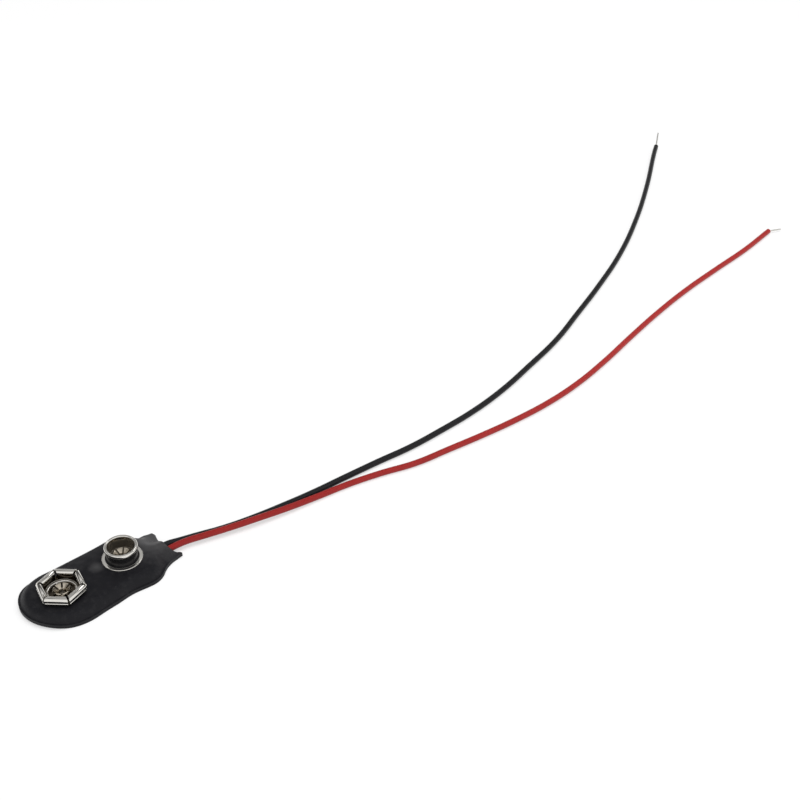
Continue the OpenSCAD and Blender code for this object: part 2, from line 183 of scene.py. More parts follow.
class SnapLeadSizes(bpy.types.PropertyGroup):
    """Sizes of the two leads."""

    diameter: size("Diameter", "Diameter of the insulation", 1.25 * MM)
    core: size("Core", "Diameter of the bundle of strands", 0.4 * MM)
    red_bare: size("Red bare end", "Bare length at the end of the red lead", 3.5 * MM)
    black_bare: size("Black bare end", "Bare length at the end of the black lead", 9 * MM)
    red_bend: FloatProperty(name="Red bend", description="Turn of the bare end of the red lead",
                            default=math.radians(-34), subtype="ANGLE")
    black_bend: FloatProperty(name="Black bend", description="Turn of the bare end of the black lead",
                              default=math.radians(3), subtype="ANGLE")
    twist_pitch: size("Twist", "Length of one turn of the twisted strands", 4 * MM)


class SnapColours(bpy.types.PropertyGroup):
    """Colours of the finishes."""

    vinyl: tint("Vinyl", "Soft black vinyl", linear(17, 17, 21))
    # Paler vinyl: real rubbing and specks, and also painted sheen towards the tail and the far side of
    # the cover
    vinyl_wear_and_sheen: tint("Worn vinyl and sheen", "Rubbed vinyl, paler specks in its grain and painted sheen", linear(72, 71, 72))
    nickel: tint("Nickel", "Bright nickel plate", linear(226, 223, 217))
    # Real tarnish in noisy patches everywhere, and painted shade inside the cup of the stud
    nickel_dull_and_shade: tint("Dull nickel", "Duller plate, and painted shade in the hollows", linear(124, 118, 108))
    nickel_shade: tint("Shaded nickel", "Plate deep inside the socket", linear(74, 67, 58))
    nickel_warm: tint("Warm nickel", "Warmer plate of the tongues", linear(192, 183, 168))
    # Painted shade: the neck of the stud and the corner at its foot are painted near-black
    nickel_neck_shade: tint("Dark nickel", "Painted shade in the corner around the neck of the stud",
                      linear(14, 14, 16))
    red: tint("Red insulation", "Insulation of the red lead", linear(167, 42, 40))
    red_deep: tint("Deep red", "Darker patches of the red insulation", linear(126, 19, 16))
    black: tint("Black insulation", "Insulation of the black lead", linear(16, 16, 18))
    black_pale: tint("Pale black", "Paler patches of the black insulation", linear(25, 25, 28))
    tinned: tint("Tinned strands", "Tinned copper", linear(226, 226, 222))
    board: tint("Board", "Pressed fibre", linear(128, 92, 62))
    board_dark: tint("Board flecks", "Darker flecks of the fibre", linear(86, 60, 40))
    solder: tint("Solder", "Smooth solder", linear(186, 188, 190))
    solder_frost: tint("Solder frost", "Frosted skin of the solder", linear(140, 142, 146))


class SnapStudio(bpy.types.PropertyGroup):
    """Camera and light."""

    eye: FloatVectorProperty(name="Camera", description="Where the camera stands",
                             default=(-77.77 * MM, -171.72 * MM, 172.36 * MM),
                             subtype="TRANSLATION", unit="LENGTH", precision=5)
    aim: FloatVectorProperty(name="Aim", description="Point on the floor in the middle of the view",
                             default=(77.86 * MM, 6.07 * MM, 0), subtype="TRANSLATION",
                             unit="LENGTH", precision=5)
    lens: FloatProperty(name="Lens", description="Focal length in millimetres on a 36 mm sensor",
                        default=61.47, min=1, unit="CAMERA")
    fill_light: FloatProperty(name="Fill light", description="Power of the lamp overhead",
                              default=3, min=0, unit="POWER")
    side_light: FloatProperty(name="Side light", description="Power of the strip at the right",
                              default=0.4, min=0, unit="POWER")


class Socket:
    """An output of a node, on which Python's operators add Math nodes."""

    def __init__(self, paint, output):
        self.paint = paint
        self.output = output

    def maths(self, operation, first, second):
        return self.paint.node("ShaderNodeMath", {"operation": operation}, {0: first, 1: second})

    def __add__(self, other):
        return self.maths("ADD", self, other)

    def __radd__(self, other):
        return self.maths("ADD", other, self)

    def __sub__(self, other):
        return self.maths("SUBTRACT", self, other)

    def __rsub__(self, other):
        return self.maths("SUBTRACT", other, self)

    def __mul__(self, other):
        return self.maths("MULTIPLY", self, other)

    def __rmul__(self, other):
        return self.maths("MULTIPLY", other, self)


class Paint:
    """The node tree of a material or of the world."""

    def __init__(self, owner):
        owner.use_nodes = True
        self.tree = owner.node_tree
        self.tree.nodes.clear()

    def node(self, kind, settings, inputs, output=0):
        """Adds a node, sets it up, links or fills its sockets, and gives one of its outputs."""
        node = self.tree.nodes.new(kind)
        for name, value in settings.items():
            if name == "stops":
                ramp = node.color_ramp.elements
                while len(ramp) < len(value):
                    ramp.new(1)
                for stop, (place, grey) in zip(ramp, value):
                    stop.position = place
                    stop.color = (grey, grey, grey, 1)
            else:
                setattr(node, name, value)
        for name, value in inputs.items():
            if isinstance(value, Socket):
                self.tree.links.new(value.output, node.inputs[name])
            elif hasattr(value, "__len__") and len(value) == 3 and node.inputs[name].type == "RGBA":
                node.inputs[name].default_value = (*value, 1)
            else:
                node.inputs[name].default_value = value
        return Socket(self, node.outputs[output])

    def place(self):
        """Object coordinates, in metres."""
        return self.node("ShaderNodeTexCoord", {}, {}, "Object")

    def stretched(self, scale):
        """Object coordinates, scaled on each axis."""
        return self.node("ShaderNodeMapping", {}, {"Vector": self.place(), "Scale": scale})

    def shifted(self, offset):
        """Object coordinates, moved by an offset."""
        return self.node("ShaderNodeMapping", {}, {"Vector": self.place(), "Location": offset})

    def share(self, value, none, full):
        """0 to 1 as a value goes from one place to another."""
        return self.node("ShaderNodeMapRange", {}, {"Value": value, "From Min": none, "From Max": full})

    def within(self, value, low, high, soft=0.1 * MM):
        """1 from a low to a high value, and 0 a little beyond them."""
        return self.share(value, low - soft, low) * self.share(value, high + soft, high)

    def noise(self, grain, detail=3, where=None):
        """Noise from 0 to 1 with features of about that length."""
        return self.node("ShaderNodeTexNoise", {},
                         {"Vector": where or self.place(), "Scale": 1 / grain, "Detail": detail})

    def cells(self, grain, where=None):
        """Distance to the edge between cells of about that width."""
        return self.node("ShaderNodeTexVoronoi", {"feature": "DISTANCE_TO_EDGE"},
                         {"Vector": where or self.place(), "Scale": 1 / grain})

    def ramp(self, value, *stops):
        """A value through a ramp of (place, grey) stops."""
        return self.node("ShaderNodeValToRGB", {"stops": stops}, {"Fac": value})

    def mix(self, share, first, second):
        """Two colours mixed by a share."""
        return self.node("ShaderNodeMix", {"data_type": "RGBA"},
                         {"Factor": share, 6: first, 7: second}, 2)

    def bump(self, height, depth, strength, normal=None):
        """A normal that is tilted by a height of that depth in metres."""
        inputs = {"Height": height, "Distance": depth, "Strength": strength}
        if normal:
            inputs["Normal"] = normal
        return self.node("ShaderNodeBump", {}, inputs)

    def surface(self, inputs):
        """The shader of a material, with the values or links of its sockets."""
        self.output(self.node("ShaderNodeBsdfPrincipled", {}, inputs))

    def output(self, shader, kind="ShaderNodeOutputMaterial"):
        """Links a shader to the output."""
        self.tree.links.new(shader.output, self.tree.nodes.new(kind).inputs["Surface"])


def material(name):
    """A new material and its paint."""
    made = bpy.data.materials.new(name)
    return made, Paint(made)


def vinyl_finish(colours):
    """Soft black vinyl with a fine leather grain and a rubbed spot, with painted sheen that makes it
    paler towards its tail and its far side.
    """
    made, paint = material("vinyl_leather_grain")
    wander = paint.noise(1.2 * MM, 2)
    grain = paint.cells(0.26 * MM)
    creases = paint.ramp(grain, (0, 0), (0.22, 1))
    specks = paint.noise(0.12 * MM, 2)
    waves = paint.noise(3.5 * MM, 1)
    rise = paint.bump(waves, 0.12 * MM, 0.5)
    skin = paint.bump(creases * 0.7 + specks * 0.3, 0.02 * MM, 0.35, rise)
    along = paint.node("ShaderNodeSeparateXYZ", {}, {0: paint.place()}, "X")
    across = paint.node("ShaderNodeSeparateXYZ", {}, {0: paint.place()}, "Y")
    # Painted sheen: the vinyl is painted paler towards the tail, in place of the light that falls on its
    # top; the rub spot is wear
    tail = paint.share(along, 5 * MM, 12 * MM) * paint.share(across, -6 * MM, 1 * MM)
    spot = paint.shifted((-RUB_AT.x, -RUB_AT.y, -RUB_AT.z))
    rub = paint.share(paint.node("ShaderNodeVectorMath", {"operation": "LENGTH"}, {0: spot}, "Value"),
                      1.7 * MM, 0.2 * MM)
    # Painted sheen: the vinyl is painted a little paler towards its far side
    far_side_sheen = paint.share(across, 1 * MM, 6 * MM)
    rub_and_sheen = tail * 0.64 + rub * 0.42 + far_side_sheen * 0.16
    wear_and_sheen = paint.ramp(wander * 0.3 + specks * 0.3 + rub_and_sheen, (0.3, 0), (0.9, 1))
    paint.surface({
        "Base Color": paint.mix(wear_and_sheen, colours.vinyl, colours.vinyl_wear_and_sheen),
        "Roughness": 0.46 + 0.16 * wander - 0.05 * creases,
        "Specular IOR Level": 0.19,
        "Normal": skin})
    return made


def nickel_finish(name, colours, axis, *zones):
    """Bright nickel plate, with zones of another tone between two radii of an axis and two heights."""
    made, paint = material(name)
    scuffs = paint.noise(0.35 * MM, 4, paint.stretched((1, 1, 0.25)))
    tarnish = paint.ramp(paint.noise(0.9 * MM, 3), (0.4, 0), (0.8, 1))
    place = paint.shifted((-axis.x, -axis.y, 0))
    flat = paint.node("ShaderNodeVectorMath", {"operation": "MULTIPLY"}, {0: place, 1: (1, 1, 0)})
    out = paint.node("ShaderNodeVectorMath", {"operation": "LENGTH"}, {0: flat}, "Value")
    height = paint.node("ShaderNodeSeparateXYZ", {}, {0: place}, "Z")
    colour = paint.mix(tarnish * 0.1, colours.nickel, colours.nickel_dull_and_shade)
    matt = scuffs * 0.08
    bare = 1
    for tone, shine, (near, far), (low, high) in zones:
        zone = paint.within(out, near, far) * paint.within(height, low, high)
        colour = paint.mix(zone, colour, tone)
        matt = matt + 0.12 * zone
        bare = bare - (1 - shine) * zone
    paint.surface({
        "Base Color": colour,
        "Metallic": bare,
        "Specular IOR Level": 0.25,
        "Roughness": 0.06 + matt,
        "Normal": paint.bump(scuffs, 0.01 * MM, 0.08)})
    return made


def insulation_finish(name, colour, patch):
    """Satin insulation with faint patches, more of the patch tone near the cover, and a drawn, uneven
    skin.
    """
    made, paint = material(name)
    patches = paint.ramp(paint.noise(4 * MM, 3), (0.3, 0), (0.75, 1))
    skin = paint.noise(0.3 * MM, 3)
    along = paint.node("ShaderNodeSeparateXYZ", {}, {0: paint.place()}, "X")
    near_cover = paint.share(along, 120 * MM, 15 * MM)
    paint.surface({
        "Base Color": paint.mix(patches * 0.2 + skin * 0.15 + near_cover * 0.65, colour, patch),
        "Roughness": 0.36 + 0.14 * skin,
        "Specular IOR Level": 0.25,
        "Normal": paint.bump(skin * 0.6 + patches * 0.4, 0.03 * MM, 0.25)})
    return made


def tinned_finish(colours):
    """Tinned copper strands."""
    made, paint = material("tinned_strands")
    streaks = paint.noise(0.2 * MM, 3)
    paint.surface({
        "Base Color": paint.mix(streaks, colours.tinned, colours.nickel),
        "Metallic": 1,
        "Roughness": 0.22 + 0.2 * streaks})
    return made


def board_finish(colours):
    """Pressed fibre board with short flecks."""
    made, paint = material("pressed_fibre")
    flecks = paint.noise(0.4 * MM, 4, paint.stretched((1, 3, 1)))
    paint.surface({
        "Base Color": paint.mix(flecks, colours.board, colours.board_dark),
        "Roughness": 0.7 + 0.2 * flecks,
        "Normal": paint.bump(flecks, 0.03 * MM, 0.4)})
    return made


def solder_finish(colours):
    """Solder that has set with a frosted skin."""
    made, paint = material("set_solder")
    frost = paint.noise(0.25 * MM, 3)
    paint.surface({
        "Base Color": paint.mix(frost, colours.solder, colours.solder_frost),
        "Metallic": 1,
        "Roughness": 0.25 + 0.25 * frost,
        "Normal": paint.bump(frost, 0.02 * MM, 0.3)})
    return made


def finished(bm, name, finish, slot, *nodes, crease=35):
    """Makes a mesh a piece of the object, in the place of CAD nodes."""
    mesh = bpy.data.meshes.new(name)
    bm.to_mesh(mesh)
    bm.free()
    mesh.materials.append(finish)
    mesh.shade_smooth()
    mesh.set_sharp_from_angle(angle=math.radians(crease))
    piece = bpy.data.objects.new(name, mesh)
    bpy.context.scene.collection.objects.link(piece)
    return seated(piece, slot, *nodes)


def seated(piece, slot, *nodes):
    """Lets a piece ride on the object and stand for CAD nodes."""
    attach(piece, "root")
    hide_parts(*nodes)
    return piece


def swept(bm, vert, centre, angle, steps, axis=(0, 0, 1)):
    """New vertices on an arc that starts at a vertex."""
    known = set(bm.verts)
    bmesh.ops.spin(bm, geom=[vert], cent=centre, axis=axis, angle=angle, steps=steps)
    return [v for v in bm.verts if v not in known]


def drawn(bm, vert, finish, steps=1):
    """New vertices on a straight line from a vertex to a point."""
    step = (Vector(finish) - vert.co) / steps
    row = []
    for _ in range(steps):
        vert = bmesh.ops.extrude_vert_indiv(bm, verts=[vert])["verts"][0]
        bmesh.ops.translate(bm, verts=[vert], vec=step)
        row.append(vert)
    return row


def traced(bm, row, *points, steps=1):
    """Lengthens a row by straight lines through points of its section, given as (out, up)."""
    for out, up in points:
        row += drawn(bm, row[-1], (out, row[0].co.y, up), steps)


def bent(bm, row, centre, angle, steps=8):
    """Lengthens a row by an arc around a point of its section, given as (out, up)."""
    out, up = centre
    row += swept(bm, row[-1], (out, row[0].co.y, up), angle, steps, (0, 1, 0))


def next_row(bm, row):
    """A copy of a row of vertices, joined to it by faces."""
    edges = [bm.edges.get(pair) for pair in zip(row, row[1:])]
    made = set(bmesh.ops.extrude_edge_only(bm, edges=edges)["geom"])
    return [next(e.other_vert(v) for e in v.link_edges if e.other_vert(v) in made) for v in row]


def closed(bm):
    """Merges doubles and turns the faces of a closed mesh outwards."""
    bmesh.ops.remove_doubles(bm, verts=bm.verts[:], dist=1e-7)
    bmesh.ops.recalc_face_normals(bm, faces=bm.faces[:])


# Edges sharper than this are rounded
SHARP = math.radians(50)


def softened(bm, width):
    """Rounds the sharp edges of a mesh."""
    sharp = [e for e in bm.edges if len(e.link_faces) == 2 and e.calc_face_angle(0) > SHARP]
    bmesh.ops.bevel(bm, geom=sharp, offset=width, segments=2, profile=0.5, affect="EDGES",
                    material=-1, clamp_overlap=True)


def ease(share):
    """Smooth step from 0 to 1."""
    share = min(1, max(0, share))
    return share * share * (3 - 2 * share)


def round_off(share):
    """Rise from 0 to 1 that starts steep and rounds off."""
    share = min(1, max(0, share))
    return 1 - (1 - share) ** 2


# Steps along the edge of the cover and across it
NECK_STEPS = 14
SHOULDER_STEPS = 12
SIDE_STEPS = 30
END_STEPS = 40
RIM_STEPS = 3
FALL_STEPS = 12
MIDDLE_STEPS = 14


def cover_edge(bm, cover):
    """Upper half of the edge of the cover, from the tip of its tail to its round end."""
    half = cover.tail_width / 2
    turn, start = shoulder(cover)
    row = [bm.verts.new((TIP_X, half, 0))]
    row += swept(bm, row[-1], (TIP_X, half + cover.neck_radius, 0), -turn, NECK_STEPS)
    row += swept(bm, row[-1], (start, COVER_WIDE - cover.shoulder_radius, 0), turn, SHOULDER_STEPS)
    row += drawn(bm, row[-1], (END_X, COVER_WIDE, 0), SIDE_STEPS)
    row += swept(bm, row[-1], (END_X, 0, 0), math.pi / 2, END_STEPS)
    return row


def inward(row):
    """Directions that point into the cover along its edge."""
    points = [v.co.copy() for v in row]
    before = [Vector((2 * points[0].x - points[1].x, points[1].y, 0)), *points[:-1]]
    after = [*points[1:], Vector((points[-2].x, -points[-2].y, 0))]
    along = [(b - a).normalized() for a, b in zip(before, after)]
    return [Vector((-way.y, way.x, 0)) for way in along]


def punched(bm, radius):
    """Cuts the round hole of the socket."""
    axis = SOCKET_AT.xy
    inside = [f for f in bm.faces if (f.calc_center_median().xy - axis).length < radius]
    bmesh.ops.delete(bm, geom=inside, context="FACES")
    for vert in bm.verts:
        out = vert.co.xy - axis
        if vert.is_boundary and out.length < 1.5 * radius:
            vert.co.xy = axis + out.normalized() * radius


def vinyl_sheet(cover, height, hole=0):
    """A sheet of the cover: rows that follow its edge, raised to a height and given its thickness."""
    bm = bmesh.new()
    inset = bm.verts.layers.float.new("inset")
    row = cover_edge(bm, cover)
    ways = inward(row)
    steps = [cover.rim_width / RIM_STEPS] * RIM_STEPS + [cover.fall_run / FALL_STEPS] * FALL_STEPS
    depth = 0
    for step in steps:
        row = next_row(bm, row)
        depth += step
        for vert, way in zip(row, ways):
            vert.co += way * step
            vert[inset] = depth
    for left in range(MIDDLE_STEPS, 0, -1):
        row = next_row(bm, row)
        for vert in row:
            vert.co.y *= (left - 1) / left
            vert[inset] = depth
    everything = bm.verts[:] + bm.edges[:] + bm.faces[:]
    bmesh.ops.mirror(bm, geom=everything, axis="Y", merge_dist=1e-6)
    bmesh.ops.remove_doubles(bm, verts=bm.verts[:], dist=1e-6)
    bmesh.ops.dissolve_degenerate(bm, edges=bm.edges[:], dist=1e-7)
    for vert in bm.verts:
        vert.co = tailored(cover, vert.co)
        vert.co.z = height(vert.co, vert[inset])
    punched(bm, hole)
    made = bmesh.ops.extrude_face_region(bm, geom=bm.faces[:])["geom"]
    bmesh.ops.translate(bm, verts=[v for v in made if isinstance(v, bmesh.types.BMVert)],
                        vec=(0, 0, SHEET))
    closed(bm)
    softened(bm, cover.cut_round)
    return bm


def shoulder(cover):
    """Turn of the shoulder of the cover, and the place along it where the shoulder starts."""
    reach = cover.shoulder_radius + cover.neck_radius
    turn = math.acos(1 - (COVER_WIDE - cover.tail_width / 2) / reach)
    return turn, TIP_X - reach * math.sin(turn)


def half_width(cover, x):
    """Half the width of the cover before its tail is set over."""
    turn, start = shoulder(cover)
    if x < start:
        return COVER_WIDE
    if x < start + cover.shoulder_radius * math.sin(turn):
        rise = math.sqrt(cover.shoulder_radius ** 2 - (x - start) ** 2)
        return COVER_WIDE - cover.shoulder_radius + rise
    dip = math.sqrt(cover.neck_radius ** 2 - (TIP_X - x) ** 2)
    return cover.tail_width / 2 + cover.neck_radius - dip


# Waves of the sides: height in edge waves, place along the cover, reach, and power of the fall
UPPER_WAVE = (-1.5, -2 * MM, 8 * MM, 4)
LOWER_WAVES = ((1.35, -5.9 * MM, 2.6 * MM, 2), (-1.6, 3 * MM, 2.8 * MM, 2))
# Ripple of the upper shoulder: depth and swing back, where it starts, and half its length
RIPPLE_DEEP, RIPPLE_BACK = 2.3, 0.4
RIPPLE_FROM, RIPPLE_HALF = 8 * MM, 4.3 * MM
# Ways from the middle of the round end to its bulge and to its dent, and the share of the dent
BULGE_WAY = (-0.75, 0.66, 0)
DENT_WAY = (-0.85, -0.53, 0)
DENT_SHARE = 0.7
# Upper tip of the tail: power of its rise, where it is blunted and how much, and start of the lower tip
UPPER_TIP_POWER = 1.8
BLUNT_FROM, BLUNT_SHARE = 0.75, 0.5
LOWER_TIP_FROM = 0.42


def hump(x, height, middle, reach, power):
    """Height of a wave at a place along the cover."""
    return height * math.exp(-((x - middle) / reach) ** power)


def tailored(cover, point):
    """A point of the sheet with the tail set over, its end edge cut, and the sides a little wavy."""
    _, start = shoulder(cover)
    into = max(0, point.x - start) / (TIP_X - start)
    across = point.y / half_width(cover, point.x)
    if across > 0:
        blunt = BLUNT_SHARE * ease((across - BLUNT_FROM) / (1 - BLUNT_FROM))
        tip = cover.upper_tip * across ** UPPER_TIP_POWER * (1 - blunt)
        swing = math.sin(math.pi * max(0, point.x - RIPPLE_FROM) / RIPPLE_HALF)
        wave = hump(point.x, *UPPER_WAVE) - RIPPLE_DEEP * max(-RIPPLE_BACK, swing)
    else:
        tip = cover.lower_tip * ease((-across - LOWER_TIP_FROM) / (1 - LOWER_TIP_FROM))
        wave = sum(hump(point.x, *values) for values in LOWER_WAVES)
    made = Vector((point.x - into * (cover.tail_hollow - tip),
                   point.y - cover.tail_lean * into ** 2 + cover.edge_wave * wave * across, 0))
    end = Vector((min(0, point.x - END_X), point.y if point.x < END_X else 0, 0)) / COVER_WIDE
    bulge = max(0, end.dot(BULGE_WAY)) ** 4 - DENT_SHARE * max(0, end.dot(DENT_WAY)) ** 4
    return made + end * cover.edge_wave * bulge


# Where the round end starts to lift, on what run along the cover, and how far in from the edge
LIFT_X = END_X - 1.5 * MM
LIFT_RUN = 5 * MM
LIFT_DEEP = 3 * MM
# Where the lower tip of the tail starts to curl up, and on what run
CURL_X, CURL_Y = 14 * MM, 3.2 * MM
CURL_RUN = 1 * MM
# Share of its run by which the tail starts to fall early, and place of the arch below the leads' middle
TAIL_EARLY = 0.1
ARCH_ASIDE = 0.1 * MM


class SNAP_OT_cover(bpy.types.Operator):
    """Makes the two vinyl sheets"""

    bl_idname = "snap.cover"
    bl_label = "Vinyl cover"

    def execute(self, context):
        cover = context.scene.snap_cover
        finish = vinyl_finish(context.scene.snap_colours)
        arch_y = (RED_EXIT[1] + BLACK_EXIT[1]) / 2 * MM - ARCH_ASIDE
        board_rise = BOARD_HIGH.z - COVER_HIGH.z

        def lift(point, depth):
            """How far the rim of the round end and the lower tip stand off the floor."""
            end = ease((LIFT_X - point.x) / LIFT_RUN) * (1 - ease(depth / LIFT_DEEP))
            tip = ease((point.x - CURL_X) / CURL_RUN) * ease((-point.y - CURL_Y) / CURL_RUN)
            return cover.end_lift * end + cover.tip_curl * tip

        def drape(point, depth):
            """Underside of the top sheet."""
            over_board = board_rise * round_off((depth - cover.rim_width) / cover.fall_run)
            aside = point.y - arch_y
            run = cover.arch_low_run if aside < 0 else cover.arch_high_run
            over_leads = BOARD_UNDER * (1 - ease((abs(aside) - cover.arch_half) / run))
            tail = ease((point.x - BOARD_HIGH.x) / cover.tail_run + TAIL_EARLY)
            return COVER_HIGH.z + over_board * (1 - tail) + over_leads * tail + lift(point, depth)

        metal = context.scene.snap_terminals
        hole = metal.foot / 2 - 1.5 * metal.metal
        finished(vinyl_sheet(cover, drape, hole), "vinyl_top_sheet", finish, "vinyl", "top_cover")
        finished(vinyl_sheet(cover, lift), "vinyl_bottom_sheet", finish, "vinyl", "bottom_cover")
        return {"FINISHED"}


# Steps round the metal
ROLL_STEPS = 14
RIM_ROLL_STEPS = 16
TURN_STEPS = 96
RIVET_STEPS = 48
TONGUE_STEPS = 10
# Rounding of the cut edges of petals and tongues
PETAL_ROUND = 0.035 * MM
TONGUE_ROUND = 0.04 * MM
# Turn of the flared edge of a lip, and turn of the bead under the rim of the stud
FLARE_TURN = math.radians(60)
BEAD_TURN = math.radians(70)


def petal(bm, metal, height):
    """One petal of the socket, on the X axis: a leaning wall with a lip rolled outwards."""
    roll = metal.lip / 2
    throat = metal.throat / 2
    row = [bm.verts.new((metal.foot / 2 - 2 * metal.metal, -metal.foot, 0))]
    traced(bm, row, (throat, height - roll), steps=3)
    bent(bm, row, (throat + roll, height - roll), math.pi + metal.lip_curl, ROLL_STEPS)
    out = Vector((math.cos(metal.lip_curl), 0, -math.sin(metal.lip_curl)))
    down = Vector((out.z, 0, -out.x))
    row += drawn(bm, row[-1], row[-1].co + down * (metal.lip_leg - metal.lip_flare), 2)
    flare = row[-1].co + out * metal.lip_flare
    bent(bm, row, (flare.x, flare.z), -FLARE_TURN - metal.lip_curl)
    far = next_row(bm, row)
    bmesh.ops.translate(bm, verts=far, vec=(0, 2 * metal.foot, 0))
    for way in (-1, 1):
        cut = Vector((-math.sin(math.pi / 6), way * math.cos(math.pi / 6), 0))
        bmesh.ops.bisect_plane(bm, geom=bm.verts[:] + bm.edges[:] + bm.faces[:], dist=1e-8,
                               plane_co=(metal.slit, 0, 0), plane_no=cut, clear_outer=True)
    bmesh.ops.recalc_face_normals(bm, faces=bm.faces[:])
    bmesh.ops.solidify(bm, geom=bm.faces[:], thickness=metal.metal)
    closed(bm)
    softened(bm, PETAL_ROUND)


def revolved(bm, row, steps=TURN_STEPS):
    """Closes a row to a section and turns it about the vertical line through the origin."""
    bm.edges.new((row[-1], row[0]))
    bmesh.ops.spin(bm, geom=bm.verts[:] + bm.edges[:], cent=(0, 0, 0), axis=(0, 0, 1),
                   angle=2 * math.pi, steps=steps, use_merge=True)
    closed(bm)


def copied(bm, source, matrix):
    """Adds a copy of another mesh, moved by a matrix."""
    mesh = bpy.data.meshes.new("copy")
    source.to_mesh(mesh)
    mesh.transform(matrix)
    bm.from_mesh(mesh)
    bpy.data.meshes.remove(mesh)


class SNAP_OT_socket(bpy.types.Operator):
    """Makes the positive socket: six petals around a dished floor"""

    bl_idname = "snap.socket"
    bl_label = "Positive socket"

    def execute(self, context):
        metal = context.scene.snap_terminals
        shade = context.scene.snap_colours.nickel_shade
        reach = (metal.throat + metal.lip) / 2
        wall = (0, reach), (FOOT_Z + metal.metal, SOCKET_HIGH.z - metal.lip / 2)
        shaded_corner = (reach, metal.foot), (0, FOOT_Z + 1.5 * metal.metal)
        floor = (0, metal.foot / 2 - 5 * metal.metal), (0, FOOT_Z + metal.metal)
        finish = nickel_finish("socket_nickel", context.scene.snap_colours, SOCKET_AT,
                               (shade, 1, *wall), (shade, 1, *floor), (shade, 1, *shaded_corner))
        one = bmesh.new()
        petal(one, metal, SOCKET_HIGH.z - FOOT_Z)
        bm = bmesh.new()
        self.floor(bm, metal)
        spot = Matrix.Translation(SOCKET_AT)
        for i in range(6):
            turn = Matrix.Rotation(metal.turn + math.radians(30 + 60 * i), 4, "Z")
            copied(bm, one, spot @ turn)
        one.free()
        finished(bm, "socket_petals", finish, "nickel", "positive_socket")
        return {"FINISHED"}

    def floor(self, bm, metal):
        """Floor of the socket: a round hole, a dish with a hollow corner and a six-sided edge."""
        hole = metal.shank / 2
        top = metal.metal
        low = SOCKET_LOW.z - FOOT_Z
        dish = metal.foot / 2 - 3 * metal.metal
        edge = top / 2
        cove = -low - edge
        row = [bm.verts.new((hole, 0, low + top))]
        traced(bm, row, (dish - cove, low + top), steps=3)
        bent(bm, row, (dish - cove, low + top + cove), -math.pi / 2)
        bent(bm, row, (dish + edge, top - edge), math.pi / 2)
        traced(bm, row, (metal.foot / 2, top), (metal.foot / 2, 0), (dish + top, 0), (dish + top, low),
               (hole, low))
        revolved(bm, row)
        for vert in bm.verts:
            if vert.co.xy.length > metal.foot / 2 - 1e-6:
                angle = math.atan2(vert.co.y, vert.co.x) - metal.turn
                vert.co.xy /= math.cos(angle % (math.pi / 3) - math.pi / 6)
        bmesh.ops.translate(bm, verts=bm.verts[:], vec=SOCKET_AT)


class SNAP_OT_stud(bpy.types.Operator):
    """Makes the negative stud: a drawn cup with a flange and a rolled rim"""

    bl_idname = "snap.stud"
    bl_label = "Negative stud"

    def execute(self, context):
        metal = context.scene.snap_terminals
        colours = context.scene.snap_colours
        # Painted shade: the neck wall and the corner at its foot are painted near-black, and the inside
        # of the cup is painted a darker, duller tone
        below = (0, STUD_HIGH.z - metal.band - (metal.rim - metal.mouth) / 2)
        inside = (0, metal.neck / 2 - metal.metal)
        shaded_corner = (metal.neck / 2, metal.neck / 2 + metal.metal)
        finish = nickel_finish("stud_nickel", colours, STUD_AT,
                               (colours.nickel_dull_and_shade, 0.7, inside, below),
                               (colours.nickel_neck_shade, 0.1, shaded_corner, below))
        height = STUD_HIGH.z - FOOT_Z
        flange = (STUD_HIGH.x - STUD_LOW.x) / 2
        wall = metal.metal
        rim = (metal.rim - metal.mouth) / 4
        rim_x = metal.mouth / 2 + rim
        rim_z = height - rim
        inner = metal.neck / 2 - wall
        fillet = 0.4 * wall
        bm = bmesh.new()
        row = [bm.verts.new((metal.shank / 2, 0, wall))]
        traced(bm, row, (inner - fillet, wall))
        bent(bm, row, (inner - fillet, wall + fillet), -math.pi / 2)
        traced(bm, row, (metal.mouth / 2, rim_z - metal.band), steps=3)
        traced(bm, row, (metal.mouth / 2, rim_z))
        bent(bm, row, (rim_x, rim_z), math.pi, RIM_ROLL_STEPS)
        traced(bm, row, (rim_x + rim, rim_z - metal.band), steps=2)
        bent(bm, row, (rim_x, rim_z - metal.band), BEAD_TURN)
        traced(bm, row, (metal.neck / 2, row[-1].co.z - wall / 2))
        traced(bm, row, (metal.neck / 2, wall + fillet), steps=3)
        bent(bm, row, (metal.neck / 2 + fillet, wall + fillet), -math.pi / 2)
        traced(bm, row, (flange - wall / 2, wall), steps=2)
        bent(bm, row, (flange - wall / 2, wall / 2), math.pi)
        traced(bm, row, (metal.shank / 2, 0), steps=2)
        revolved(bm, row)
        bmesh.ops.translate(bm, verts=bm.verts[:], vec=STUD_AT)
        finished(bm, "stud_cup", finish, "nickel", "negative_stud")
        return {"FINISHED"}


